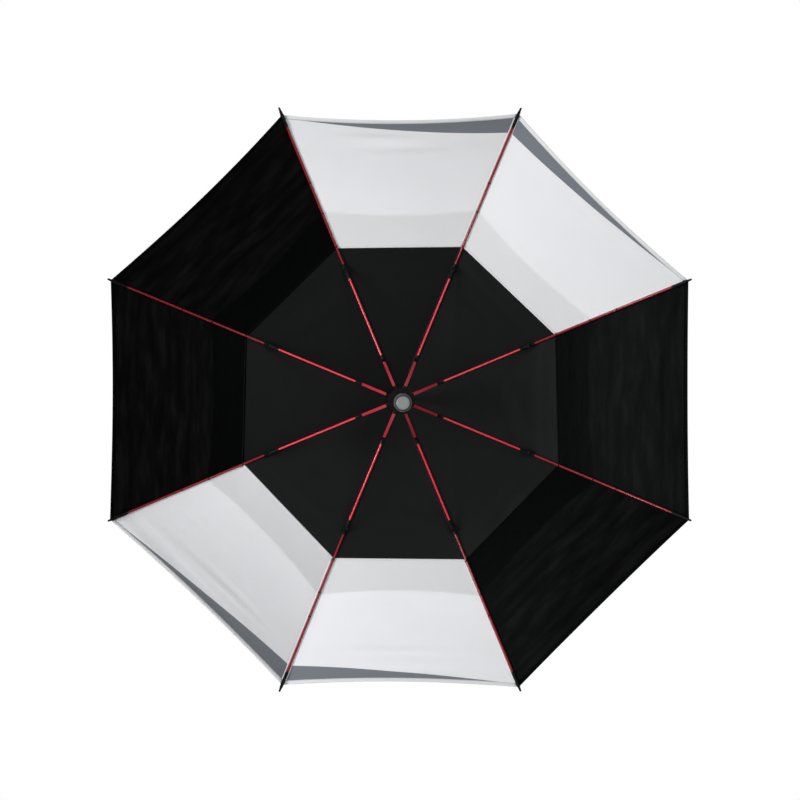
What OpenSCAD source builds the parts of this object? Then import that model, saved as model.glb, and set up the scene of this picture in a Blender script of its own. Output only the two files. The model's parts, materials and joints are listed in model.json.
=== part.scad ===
// Double-canopy golf umbrella with an automatic opening frame, modelled open and upright.
// Origin: centre of the handle's end face, on the shaft axis. +Z runs up the shaft to the top cap.
// All sizes are in millimetres.

/* [Canopy] */
// Radius from the shaft axis to the end of each rib rod, umbrella open
rib_end_r = 738; // [700:1:760]
// Angle through which the outer rib bends, umbrella open
rib_bend = 33; // [26:1:38]
// Radius of the lower canopy's inner edge, measured along a rib
vent_r = 414; // [400:2:440]
// Radius of the upper canopy's outer edge, measured along a rib
flap_r = 503; // [480:1:540]
// How far the outer hem curves in between two ribs, as bend angle of the rib arc
hem_scallop = 0.8; // [0.3:0.1:3]
// Thickness of the canopy solids
cloth_t = 0.9; // [0.5:0.1:1.2]
// How far the cloth dips between two ribs at the hem
cloth_dip = 9; // [0:1:20]

/* [Frame] */
// Height of the crown hinge ring above the handle's end
crown_z = 1000; // [990:1:1010]
// Radius of the hinge rings in the crown and in the runner
pivot_r = 13; // [12.8:0.1:13.4]
// Radius at which the stretchers meet the ribs, umbrella open
joint_r = 350; // [340:1:360]
// Slope of the folding linkage below horizontal, umbrella open
link_slope = 12.5; // [11:0.5:14]
// Radius of the rib rods
rib_rod_r = 2.7; // [2.2:0.05:2.9]
// Radius of the stretcher rods
stretcher_rod_r = 2.5; // [2:0.05:2.5]

/* [Opening mechanism] */
// Distance from the runner's hinge ring to the strut joint, along a stretcher
strut_reach = 98; // [90:1:105]
// Length of each spring strut between its two pivots
strut_len = 150; // [145:1:155]
// Radius of the strut pivots in the spring sleeve
sleeve_pivot_r = 22; // [21.5:0.1:22.5]
// Number of turns in the opening spring
spring_turns = 15; // [10:1:18]

/* [Shaft and handle] */
// Outer radius of the shaft tube
shaft_r = 7; // [6.5:0.1:7.1]
// Outer radius of the grip
grip_r = 17.5; // [16.5:0.1:18]
// Height of the grip
grip_h = 156; // [150:1:158]
// Height of the collar's rim above the handle's end
collar_top = 196; // [194:1:198]
// Radius of the end cap
cap_r = 13.0; // [12:0.1:14.5]

/* [Hidden] */
rib_count = 8;
rib_step = 360 / rib_count;
clear = 0.03; // fit between mating parts

// Facets per turn
fine = 96;
medium = 48;
coarse = 24;

red = [0.72, 0.06, 0.10];
black = [0.05, 0.05, 0.05];
steel = [0.6, 0.6, 0.62];

// Linkage, worked out in the plane of one rib. Points are [radius, height].
// Slopes are degrees below horizontal, going outward.
link_len = (joint_r - pivot_r) / cos(link_slope);
joint_drop = 9; // stretcher joint below the rib's centreline
joint_x = sqrt(link_len * link_len - joint_drop * joint_drop);
rib_slope = link_slope - asin(joint_drop / link_len);
bend_x = joint_x + 15; // length of the straight inner rib
crown_hinge = [pivot_r, crown_z];
runner_z = crown_z - 2 * (joint_r - pivot_r) * tan(link_slope);
runner_hinge = [pivot_r, runner_z];
bend_start = rod_pt(bend_x, 0);
arc_r = (rib_end_r - bend_start[0]) / (sin(rib_slope + rib_bend) - sin(rib_slope));
arc_centre = bend_start - arc_r * [sin(rib_slope), cos(rib_slope)];
strut_joint = runner_hinge + strut_reach * [cos(link_slope), sin(link_slope)];
strut_run = strut_joint[0] - sleeve_pivot_r;
sleeve_z = strut_joint[1] - sqrt(strut_len * strut_len - pow(strut_run, 2));
strut_slope = atan2(strut_joint[1] - sleeve_z, strut_run);

// Hubs of the crown and the runner
hub_r = 17;
slot_root_r = 9.6;
slot_half_w = 2.1;
wire_r = 0.8; // hinge wires

// Shaft, its two cross pins and the runner's tube
shaft_bottom = 22;
shaft_top = 1012;
shaft_wall = 1.6;
crown_pin_z = crown_z - 16;
crown_pin_r = 1.2;
handle_pin_z = 40;
handle_pin_r = 1.5;
pin_hole_len = 30;
guide_r = 8.8;

// Handle and latch. The latch faces -Y and rocks about an axle parallel to X.
core_r = 11;
stem_r = 4; // stem of the end cap
latch_z = 178;
latch_y = -16.1;
latch_pin_r = 1.2;

// Direction of rib k around the shaft
function rib_angle(k) = rib_step * (k - 0.5);
// A point on the straight inner rib at distance x from the hinge, lifted by h
function rod_pt(x, h) =
  crown_hinge + x * [cos(rib_slope), -sin(rib_slope)] + h * [sin(rib_slope), cos(rib_slope)];
// A point on the rib arc at a given slope, lifted by h along the arc's outward side
function arc_pt(slope, h) = arc_centre + (arc_r + h) * [sin(slope), cos(slope)];
// Degrees round the arc at radius r from the shaft, on a surface lifted by h
function arc_turn_at(r, h) = asin((r - arc_centre[0]) / (arc_r + h)) - rib_slope;
// Rib profile at station w: below 0 is millimetres inward from the bend along the straight part,
// above 0 is degrees round the arc
function profile(w, h) = w < 0 ? rod_pt(bend_x + w, h) : arc_pt(rib_slope + w, h);

NODES = concat(
  [for (part = ["rib_inner", "rib_joint", "rib_outer", "stretcher", "spring_strut"])
    for (k = [1:rib_count]) str(part, "_", k)],
  ["shaft", "crown_notch", "crown_wire", "crown_washer", "top_cap", "shaft_pins",
   "runner", "runner_wire", "spring_sleeve", "opening_spring",
   "handle_core", "grip", "end_cap", "collar", "latch_button", "latch_pin", "latch_spring",
   "upper_canopy", "lower_canopy_white", "lower_canopy_black"]);
node = "all";

// Placing and basic shapes
module at_rib(k) rotate([0, 0, rib_angle(k)]) children();
// Puts +X on the given downward slope, starting at a linkage point
module sloped(point, slope)
  translate([point[0], 0, point[1]]) rotate([0, slope, 0]) children();
module rod(x0, x1, r)
  translate([x0, 0, 0]) rotate([0, 90, 0]) cylinder(h = x1 - x0, r = r, $fn = fine);
module crosswise(r, width)
  rotate([90, 0, 0]) cylinder(h = width, r = r, center = true, $fn = fine);
module slab(x0, x1, half_w, z0, z1)
  translate([x0, -half_w, z0]) cube([x1 - x0, 2 * half_w, z1 - z0]);
module upright(z, h, r, facets = fine)
  translate([0, 0, z]) cylinder(h = h, r = r, $fn = facets);
module tube(z0, z1, outer_r, inner_r) translate([0, 0, z0]) difference() {
  cylinder(h = z1 - z0, r = outer_r, $fn = fine);
  upright(-1, z1 - z0 + 2, inner_r);
}
module ring(z, ring_r, r)
  translate([0, 0, z]) rotate_extrude($fn = fine)
    translate([ring_r, 0]) circle(r = r, $fn = coarse);
module turned(outline) rotate_extrude($fn = fine) polygon(outline);
module rib_arc(r, w0, w1)
  translate([arc_centre[0], 0, arc_centre[1]]) rotate([90, 0, 0])
    rotate([0, 0, 90 - rib_slope - w1]) rotate_extrude(angle = w1 - w0, $fn = 256)
      translate([arc_r, 0]) circle(r = r, $fn = medium);
// Blocks centred on x = 0; each row is [y, z, size in y, size in z]
module blocks(width, rows)
  for (b = rows) translate([-width / 2, b[0], b[1]]) cube([width, b[2], b[3]]);

// Straight inner half of a rib, a fibreglass rod
module rib_inner(k)
  color(red) at_rib(k) sloped(crown_hinge, rib_slope) rod(9, bend_x - 3, rib_rod_r);

// Eye that hangs on a hinge wire, with a ferrule for the rod
module hinge_eye(ferrule_r, rod_r) difference() {
  union() {
    crosswise(3.2, 3);
    slab(0, 7, 1.5, -1.7, 1.7);
    rod(6.2, 19, ferrule_r);
  }
  crosswise(1.0, 8);
  rod(8.5, 20, rod_r + clear);
}

// Crown eye, and the bracket that carries the stretcher on a headed pin
module rib_joint(k) color([0.06, 0.06, 0.06]) at_rib(k) sloped(crown_hinge, rib_slope) {
  cheek_y = 3.35;
  cheek_t = 1.5;
  pin_r = 1.1;
  hinge_eye(3.45, rib_rod_r);
  difference() {
    union() {
      rod(joint_x - 13, bend_x - 0.5, 4.8);
      for (side = [-1, 1]) translate([joint_x, side * cheek_y, 0]) {
        translate([-5, -cheek_t / 2, -joint_drop]) cube([10, cheek_t, joint_drop]);
        translate([0, 0, -joint_drop]) crosswise(3.6, cheek_t);
      }
    }
    rod(joint_x - 20, bend_x + 5, rib_rod_r + clear);
    translate([joint_x, 0, -joint_drop]) crosswise(pin_r + clear, 12);
    slab(joint_x - 5.5, joint_x + 5.5, cheek_y - cheek_t / 2, -joint_drop - 4, -4.0);
  }
  translate([joint_x, 0, -joint_drop]) {
    crosswise(pin_r, 8.2);
    for (side = [-1, 1]) translate([0, side * 4.5, 0]) crosswise(1.9, 0.7);
  }
}

// Curved outer half of a rib, with the plastic tip that holds the canopy's corner
module rib_outer(k) at_rib(k) {
  end_slope = rib_slope + rib_bend;
  tip_len = 38; // part of the tip that sleeves the rod
  tip_turn = tip_len / arc_r * 180 / PI;
  nose_lift = 0.25;
  color(red) {
    rib_arc(rib_rod_r, 0, rib_bend);
    translate([bend_start[0], 0, bend_start[1]]) sphere(r = rib_rod_r, $fn = medium);
  }
  color(black) difference() {
    sloped(arc_pt(end_slope, 0), end_slope) {
      rotate([0, -tip_turn / 2, 0]) translate([-tip_len, 0, 0.12]) rotate([0, 90, 0])
        cylinder(h = 42.5, r = 3.7, $fn = medium);
      translate([3, 0, nose_lift]) rotate([0, 90, 0])
        cylinder(h = 13, r1 = 3.4, r2 = 2.2, $fn = medium);
      translate([16, 0, nose_lift]) sphere(r = 2.5, $fn = medium);
      translate([-6, 0, 1.5]) crosswise(1.6, 9.5);
    }
    rib_arc(rib_rod_r + clear, rib_bend - 6, rib_bend + 0.02);
  }
}

// Flat-sided ferrule on the stretcher, where the strut joins
module strut_ferrule() difference() {
  half_len = 9;
  intersection() {
    rod(strut_reach - half_len, strut_reach + half_len, 3.7);
    slab(strut_reach - half_len, strut_reach + half_len, 2.72, -5, 5);
  }
  rod(strut_reach - half_len - 1, strut_reach + half_len + 1, stretcher_rod_r + clear);
}
// Eye at the outer end of the stretcher, held in the rib's bracket
module stretcher_end() difference() {
  union() {
    translate([link_len, 0, 0]) crosswise(3.3, 4.6);
    slab(link_len - 9, link_len, 2.3, -2.0, 2.0);
    rod(link_len - 25, link_len - 8, 3.3);
  }
  translate([link_len, 0, 0]) crosswise(1.2, 8);
  rod(link_len - 26, link_len - 11.5, stretcher_rod_r + clear);
}
// Stretcher rod with its runner eye, strut ferrule and rib end
module stretcher(k) at_rib(k) sloped(runner_hinge, -link_slope) {
  color([0.85, 0.10, 0.15]) rod(9, link_len - 12, stretcher_rod_r);
  color(black) {
    hinge_eye(3.2, stretcher_rod_r);
    strut_ferrule();
    stretcher_end();
  }
}

// Pressed channel from the spring sleeve up to a stretcher, with a nylon foot on trunnions
// and nylon ears
module spring_strut(k) at_rib(k) sloped([sleeve_pivot_r, sleeve_z], -strut_slope) {
  channel_x0 = 20;
  channel_x1 = 134;
  wall_y = 3.1;
  wall_t = 0.5;
  wall_h = 4.5;
  end_gap = 0.02; // between the channel and the nylon parts
  ear_x0 = channel_x1 + end_gap;
  ear_y = 3.225;
  ear_t = 0.75;
  ear_h = 5.2;
  color(red) {
    for (side = [-1, 1])
      translate([channel_x0, side * wall_y - wall_t / 2, -wall_h / 2])
        cube([channel_x1 - channel_x0, wall_t, wall_h]);
    slab(channel_x0, 128, wall_y + wall_t / 2, -3.2, -2.2);
  }
  color(black) {
    slab(0, channel_x0 - end_gap, 3.6, -3.2, wall_h / 2);
    crosswise(2.6, 7.2);
    crosswise(1.1, 12.4);
    for (side = [-1, 1]) difference() {
      union() {
        translate([ear_x0, side * ear_y - ear_t / 2, -ear_h / 2])
          cube([strut_len - ear_x0, ear_t, ear_h]);
        translate([strut_len, side * ear_y, 0]) crosswise(ear_h / 2, ear_t);
        translate([strut_len, side * 3.8, 0]) crosswise(1.7, 0.5);
      }
      translate([strut_len, 0, 0]) crosswise(1.0, 7);
    }
  }
}

// Holes for the two pins through the shaft
module crown_pin_hole()
  translate([0, 0, crown_pin_z]) crosswise(crown_pin_r + clear, pin_hole_len);
module handle_pin_hole()
  translate([0, 0, handle_pin_z]) crosswise(handle_pin_r + clear, pin_hole_len);

module shaft() color([0.07, 0.07, 0.075]) difference() {
  tube(shaft_bottom, shaft_top, shaft_r, shaft_r - shaft_wall);
  crown_pin_hole();
  handle_pin_hole();
}
module shaft_pins() color(steel) {
  translate([0, 0, crown_pin_z]) crosswise(crown_pin_r, 18.4);
  translate([0, 0, handle_pin_z]) crosswise(handle_pin_r, 21.4);
}

// A hub disc with a wire channel, and one radial slot for each rib or stretcher.
// It reaches from below to above, measured from the hinge ring at height z.
module gallery(z, below, above) difference() {
  upright(z + below, above - below, hub_r);
  for (k = [1:rib_count]) at_rib(k)
    slab(slot_root_r, hub_r + 5, slot_half_w, z + below - 1, z + above + 1);
  ring(z, pivot_r, wire_r + 0.08);
}

module crown_notch() color(black) difference() {
  union() {
    gallery(crown_z, -3.8, 4.4);
    upright(crown_z - 24, 25, 9.4);
  }
  upright(crown_z - 30, 40, shaft_r + clear);
  crown_pin_hole();
}
module crown_wire() color(steel) ring(crown_z, pivot_r, wire_r);
module crown_washer() color(black) tube(crown_z + 8.8, crown_z + 9.5, 15, shaft_r + 0.2);

// Outlines for turned parts are [radius, z]
top_cap_outline = [
  [0, 1009.6], [15.5, 1009.6], [16, 1010.8], [13, 1016], [10.2, 1024],
  [9, 1034], [8.4, 1043], [6.8, 1047], [0, 1048.4]];
module top_cap() color([0.05, 0.05, 0.055]) difference() {
  turned(top_cap_outline);
  upright(1005, 9, shaft_r + clear);
}

// Sliding runner: stretcher gallery, long guide tube and pull flange.
// Heights are from its hinge ring.
runner_cone_outline = [[0, -12], [10.5, -12], [15, -4.4], [0, -4.4]];
runner_flange_outline = [
  [0, -130], [11.5, -130], [13, -128], [13, -119.5], [12.2, -118], [0, -118]];
module runner() color(black) translate([0, 0, runner_z]) difference() {
  union() {
    gallery(0, -4.4, 3.8);
    upright(-129, 136, guide_r);
    turned(runner_cone_outline);
    turned(runner_flange_outline);
  }
  // Slots carried on down into the cone
  for (k = [1:rib_count]) at_rib(k) slab(slot_root_r, 20, slot_half_w, -5.5, -1);
  upright(-140, 160, shaft_r + 0.3);
  // Grooves round the flange
  for (z = [-121.5, -124.5])
    rotate_extrude($fn = fine) translate([13.4, z]) circle(r = 0.9, $fn = coarse);
}
module runner_wire() color(steel) ring(runner_z, pivot_r, wire_r);

// Sleeve that slides on the runner's tube and pushes the spring struts
module spring_sleeve() color(black) translate([0, 0, sleeve_z]) difference() {
  union() {
    upright(-6.5, 12.5, 28);
    upright(-15, 24, 14);
  }
  upright(-20, 40, guide_r + 0.3);
  for (k = [1:rib_count]) at_rib(k) {
    slab(18.2, 34, 3.9, -3.7, 12);
    translate([sleeve_pivot_r, 0, 0]) crosswise(1.2, 13.0);
  }
}

// Round wire swept up a helix from z0 to z1, with a polygon of the given sides as its section
module coil(coil_r, section_r, turns, z0, z1, steps_per_turn, sides) {
  steps = turns * steps_per_turn;
  pitch = (z1 - z0) / turns;
  tilt = atan(pitch / (2 * PI * coil_r));
  points = [for (i = [0:steps])
    let (
      t = i / steps,
      a = 360 * turns * t,
      centre = [coil_r * cos(a), coil_r * sin(a), z0 + (z1 - z0) * t],
      outward = [cos(a), sin(a), 0],
      upward = [sin(a) * sin(tilt), -cos(a) * sin(tilt), cos(tilt)])
    for (j = [0:sides - 1])
      let (b = 360 * j / sides)
      centre + section_r * cos(b) * outward + section_r * sin(b) * upward];
  skin = [for (i = [0:steps - 1]) for (j = [0:sides - 1])
    let (a = i * sides + j, b = i * sides + (j + 1) % sides)
    for (face = [[a + sides, b, a], [a + sides, b + sides, b]]) face];
  last = steps * sides;
  start_cap = [for (j = [1:sides - 2]) [j, j + 1, 0]];
  end_cap = [for (j = [1:sides - 2]) [last + j + 1, last + j, last]];
  polyhedron(points = points, faces = concat(skin, start_cap, end_cap), convexity = 10);
}
module opening_spring() color([0.62, 0.62, 0.65])
  coil(coil_r = 11.4, section_r = 0.8, turns = spring_turns,
    z0 = sleeve_z + 10.7, z1 = runner_z - 13.9, steps_per_turn = 14, sides = 6);

module handle_core() color([0.12, 0.12, 0.12]) difference() {
  upright(8, 168, core_r);
  upright(21, 170, shaft_r + clear);
  handle_pin_hole();
  upright(2, 10, stem_r + 0.05, medium);
}

grip_outline = [
  [0, 1.2], [15.2, 1.2], [16.6, 1.9], [17.3, 3.2], [grip_r, 5],
  [grip_r, grip_h - 4], [17.2, grip_h - 1], [16.6, grip_h], [0, grip_h]];
module grip() color([0.06, 0.06, 0.06]) difference() {
  turned(grip_outline);
  upright(8, 170, core_r + clear);
  upright(-1, 7, cap_r + clear);
  upright(-1, 12, stem_r + 0.1, medium);
}

// Disc with a stem above and a ring groove in its lower face
end_cap_outline = [
  [0, 0], [cap_r - 1.2, 0], [cap_r - 0.3, 0.5], [cap_r, 1.4], [cap_r, 6], [0, 6]];
module end_cap() color([0.45, 0.47, 0.48]) difference() {
  union() {
    turned(end_cap_outline);
    cylinder(h = 12, r = stem_r, $fn = medium);
  }
  translate([0, 0, -1]) rotate_extrude($fn = fine) translate([9.6, 0]) square([0.9, 1.35]);
}

// Cylinder on the latch's rocking axis
module latch_axle(length, r)
  translate([0, latch_y, latch_z]) rotate([0, 90, 0])
    cylinder(h = length, r = r, center = true, $fn = medium);

// Collar with the cup that takes the runner's flange, and a window for the latch
collar_outline = [
  [0, grip_h + 0.2], [16.6, grip_h + 0.2], [17.4, grip_h + 1.5], [18.4, 166], [18.8, 176],
  [18.6, 188], [17.8, collar_top - 1.4], [16.6, collar_top], [0, collar_top]];
module collar() color(black) difference() {
  turned(collar_outline);
  upright(150, 30, core_r + clear);
  upright(latch_z + 0.4, 30, 14.2);
  upright(150, 60, shaft_r + 0.4);
  translate([-4.2, -25, 162]) cube([8.4, 13.2, 40]);
  latch_axle(15, latch_pin_r + clear);
}

// Rocking latch: press its lower pad and the hook above swings clear of the runner's flange
latch_w = 7.8;
latch_blocks = [
  [-19.6, 163, 4.4, 13],    // pad
  [-17.7, 170, 3.1, 24],    // arm
  [-16.5, 192.4, 3.2, 2.6]  // hook
];
module latch_button() color([0.35, 0.36, 0.37]) difference() {
  union() {
    blocks(latch_w, latch_blocks);
    latch_axle(latch_w, 2.3);
  }
  latch_axle(15, latch_pin_r + 0.06);
}
module latch_pin() color(steel) latch_axle(14.6, latch_pin_r);

// U-shaped leaf spring behind the pad
latch_spring_blocks = [
  [-12.25, 163.2, 0.4, 11],  // long leg, nearer the shaft
  [-14.9, 163.2, 2.8, 0.4],  // base
  [-15.0, 163.2, 0.4, 5]     // short leg
];
module latch_spring() color(steel) blocks(5, latch_spring_blocks);

// One gore of cloth between rib k and the next, as a closed sheet in rows from inner to outer edge.
// inner and outer are profile stations; straight_scale turns stations below 0 into millimetres.
module gore(k, inner, outer, lift, rows, scallop, dip = 0, straight_scale = 1) {
  columns = 6;
  gap = 0.0015; // left open at each rib, as a share of the gore's width
  a = rib_angle(k);
  b = a + rib_step;
  // u runs from rib to rib and v from inner to outer edge, both 0 to 1
  function cloth_pt(u, v, h) =
    let (
      bow = 4 * u * (1 - u),
      w = inner + (outer - scallop * bow - inner) * v,
      p = profile(w < 0 ? w * straight_scale : w, h),
      t = gap + (1 - 2 * gap) * u)
    [p[0] * ((1 - t) * cos(a) + t * cos(b)),
     p[0] * ((1 - t) * sin(a) + t * sin(b)),
     p[1] - dip * v * bow];
  function id(i, q) = i * (columns + 1) + q;
  layer = (columns + 1) * (rows + 1);
  points = [for (h = [lift, lift + cloth_t]) for (i = [0:rows]) for (q = [0:columns])
    cloth_pt(q / columns, i / rows, h)];
  bottom = [for (i = [0:rows - 1]) for (q = [0:columns - 1])
    for (face = [
      [id(i, q + 1), id(i + 1, q), id(i, q)],
      [id(i, q + 1), id(i + 1, q + 1), id(i + 1, q)]]) face];
  top = [for (f = bottom) [f[1] + layer, f[0] + layer, f[2] + layer]];
  edge = concat(
    [for (q = [0:columns - 1]) [id(0, q), id(0, q + 1)]],
    [for (i = [0:rows - 1]) [id(i, columns), id(i + 1, columns)]],
    [for (q = [columns:-1:1]) [id(rows, q), id(rows, q - 1)]],
    [for (i = [rows:-1:1]) [id(i, 0), id(i - 1, 0)]]);
  walls = [for (e = edge)
    for (face = [[e[1] + layer, e[1], e[0]], [e[0] + layer, e[1] + layer, e[0]]]) face];
  polyhedron(points = points, faces = concat(bottom, top, walls), convexity = 6);
}

module lower_gore(k)
  gore(k, inner = arc_turn_at(vent_r, 4), outer = rib_bend - 0.6, lift = 4.6, rows = 8,
    scallop = hem_scallop, dip = cloth_dip);
// The straight part counts as 12 stations and ends 4 mm inside the crown hinge
module upper_gore(k) {
  straight_stations = 12;
  gore(k, inner = -straight_stations, outer = arc_turn_at(flap_r, 7), lift = 6.9, rows = 9,
    scallop = 0.5, straight_scale = (bend_x + 4) / straight_stations);
}
module upper_canopy() color([0.05, 0.055, 0.05]) for (k = [1:rib_count]) upper_gore(k);
module lower_canopy_white() color([0.88, 0.89, 0.90]) for (k = [2, 3, 6, 7]) lower_gore(k);
module lower_canopy_black() color([0.03, 0.03, 0.03]) for (k = [1, 4, 5, 8]) lower_gore(k);

function shown(name) = node == "all" || node == name;

for (k = [1:rib_count]) {
  if (shown(str("rib_inner_", k))) rib_inner(k);
  if (shown(str("rib_joint_", k))) rib_joint(k);
  if (shown(str("rib_outer_", k))) rib_outer(k);
  if (shown(str("stretcher_", k))) stretcher(k);
  if (shown(str("spring_strut_", k))) spring_strut(k);
}
if (shown("shaft")) shaft();
if (shown("crown_notch")) crown_notch();
if (shown("crown_wire")) crown_wire();
if (shown("crown_washer")) crown_washer();
if (shown("top_cap")) top_cap();
if (shown("shaft_pins")) shaft_pins();
if (shown("runner")) runner();
if (shown("runner_wire")) runner_wire();
if (shown("spring_sleeve")) spring_sleeve();
if (shown("opening_spring")) opening_spring();
if (shown("handle_core")) handle_core();
if (shown("grip")) grip();
if (shown("end_cap")) end_cap();
if (shown("collar")) collar();
if (shown("latch_button")) latch_button();
if (shown("latch_pin")) latch_pin();
if (shown("latch_spring")) latch_spring();
if (shown("upper_canopy")) upper_canopy();
if (shown("lower_canopy_white")) lower_canopy_white();
if (shown("lower_canopy_black")) lower_canopy_black();
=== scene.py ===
"""Double-canopy golf umbrella: the looks built around its CAD frame.

Metres. The shaft runs along Z with the crown at the top; the eight ribs spread evenly about it.
The canopy is open at rest and folds with the frame. Each gore j lies between ribs j and j + 1.
"""
import bpy
import bmesh
import json
import math
import random
import numpy as np
from mathutils import Vector, Matrix

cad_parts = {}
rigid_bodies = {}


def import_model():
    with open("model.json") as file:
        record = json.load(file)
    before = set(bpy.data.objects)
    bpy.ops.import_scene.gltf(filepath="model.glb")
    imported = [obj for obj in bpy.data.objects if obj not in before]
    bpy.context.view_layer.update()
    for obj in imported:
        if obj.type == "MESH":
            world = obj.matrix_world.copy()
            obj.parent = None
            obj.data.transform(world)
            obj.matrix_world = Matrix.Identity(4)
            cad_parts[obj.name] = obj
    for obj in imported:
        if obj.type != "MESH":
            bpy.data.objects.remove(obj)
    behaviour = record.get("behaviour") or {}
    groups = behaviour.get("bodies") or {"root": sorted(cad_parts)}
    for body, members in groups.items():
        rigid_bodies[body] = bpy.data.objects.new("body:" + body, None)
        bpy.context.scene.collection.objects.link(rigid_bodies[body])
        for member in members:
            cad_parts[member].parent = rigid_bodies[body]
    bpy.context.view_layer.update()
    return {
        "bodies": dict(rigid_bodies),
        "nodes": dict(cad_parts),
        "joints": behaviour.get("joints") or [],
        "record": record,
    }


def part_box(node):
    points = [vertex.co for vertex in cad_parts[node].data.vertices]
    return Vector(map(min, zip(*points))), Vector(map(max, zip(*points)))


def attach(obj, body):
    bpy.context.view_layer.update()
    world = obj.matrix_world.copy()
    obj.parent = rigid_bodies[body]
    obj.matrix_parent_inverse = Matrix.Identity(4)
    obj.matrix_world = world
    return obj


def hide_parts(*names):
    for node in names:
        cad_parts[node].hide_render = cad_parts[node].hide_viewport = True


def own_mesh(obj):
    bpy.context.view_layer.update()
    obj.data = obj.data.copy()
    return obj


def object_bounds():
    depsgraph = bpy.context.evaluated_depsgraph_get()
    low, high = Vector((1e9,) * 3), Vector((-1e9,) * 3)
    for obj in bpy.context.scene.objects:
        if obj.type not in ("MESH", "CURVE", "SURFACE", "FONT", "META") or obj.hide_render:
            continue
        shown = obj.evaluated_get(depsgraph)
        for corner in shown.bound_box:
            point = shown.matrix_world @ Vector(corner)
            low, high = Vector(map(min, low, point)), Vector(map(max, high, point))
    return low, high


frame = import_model()
NODES = frame["nodes"]
SLOT = {part["node"]: part["material_slot"] for part in frame["record"]["subparts"]}
JOINTS = {joint["name"]: joint for joint in frame["joints"]}
PI = math.pi
RIBS = 8
STEP = 2 * PI / RIBS


# ---------------------------------------------------------------- frame geometry
def radius_height(joint):
    x, y, z = JOINTS[joint]["pos_m"]
    return math.hypot(x, y), z


CROWN_R, CROWN_Z = radius_height("fold")
FLEX_R, FLEX_Z = radius_height("rib_flex_1")
HINGE_R, HINGE_Z = radius_height("stretcher_hinge_1")
RUNNER_R, RUNNER_Z = radius_height("runner_hinge")
STRUT_R, STRUT_Z = radius_height("strut_hinge_1")

# each rib is straight from the crown to its flex joint, then a circular arc to its tip
RIB_SLOPE = math.atan2(CROWN_Z - FLEX_Z, FLEX_R - CROWN_R)
STRAIGHT = math.hypot(FLEX_R - CROWN_R, CROWN_Z - FLEX_Z)
BEND = math.radians(33)
TIP_R = 0.738
BEND_R = (TIP_R - FLEX_R) / (math.sin(RIB_SLOPE + BEND) - math.sin(RIB_SLOPE))
CENTRE_R = FLEX_R - BEND_R * math.sin(RIB_SLOPE)
CENTRE_Z = FLEX_Z - BEND_R * math.cos(RIB_SLOPE)
RIB_ROD = 0.0027            # rod radii
STRETCHER_ROD = 0.0025

# the stretcher is as long as the rib from crown to stretcher hinge
LINK = math.hypot(HINGE_R - CROWN_R, CROWN_Z - HINGE_Z)
LINK_ANGLE = math.atan2(CROWN_Z - HINGE_Z, HINGE_R - CROWN_R)
FOLD = math.radians(JOINTS["fold"]["range_deg"][1])
TRAVEL = 2 * LINK * (math.sin(LINK_ANGLE + FOLD) - math.sin(LINK_ANGLE))

# the spring strut points at a place on the stretcher this far from the runner
STRUT_REACH = 0.098
STRUT_SLOPE = math.atan2(RUNNER_Z + STRUT_REACH * math.sin(LINK_ANGLE) - STRUT_Z,
                         RUNNER_R + STRUT_REACH * math.cos(LINK_ANGLE) - STRUT_R)


def rib_angle(k):
    return STEP / 2 + STEP * (k - 1)


def polar(radius, angle, z):
    return Vector((radius * math.cos(angle), radius * math.sin(angle), z))


def slope_at(arc):
    return RIB_SLOPE + max(0.0, arc - STRAIGHT) / BEND_R


def profile(arc, lift=0):
    """Radius and height at a length along the rib from the crown hinge, lifted off its line."""
    if arc <= STRAIGHT:
        return (CROWN_R + arc * math.cos(RIB_SLOPE) + lift * math.sin(RIB_SLOPE),
                CROWN_Z - arc * math.sin(RIB_SLOPE) + lift * math.cos(RIB_SLOPE))
    slope = RIB_SLOPE + (arc - STRAIGHT) / BEND_R
    return (CENTRE_R + (BEND_R + lift) * math.sin(slope),
            CENTRE_Z + (BEND_R + lift) * math.cos(slope))


def arc_at(radius):
    """Length along the rib at which it reaches a radius."""
    if radius <= FLEX_R:
        return (radius - CROWN_R) / math.cos(RIB_SLOPE)
    return STRAIGHT + BEND_R * (math.asin((radius - CENTRE_R) / BEND_R) - RIB_SLOPE)


def chord(radius):
    """Width between neighbouring ribs."""
    return 2 * radius * math.sin(STEP / 2)


def smooth(start, end, x):
    t = min(1.0, max(0.0, (x - start) / (end - start)))
    return t * t * (3 - 2 * t)


ARC_TIP = STRAIGHT + BEND_R * BEND
ARC_VENT = arc_at(0.4090)       # inner hem of the lower canopy
ARC_FLAP = arc_at(0.5045)       # outer hem of the upper canopy
ARC_HEM = arc_at(0.7335)        # outer hem of the lower canopy


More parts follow.
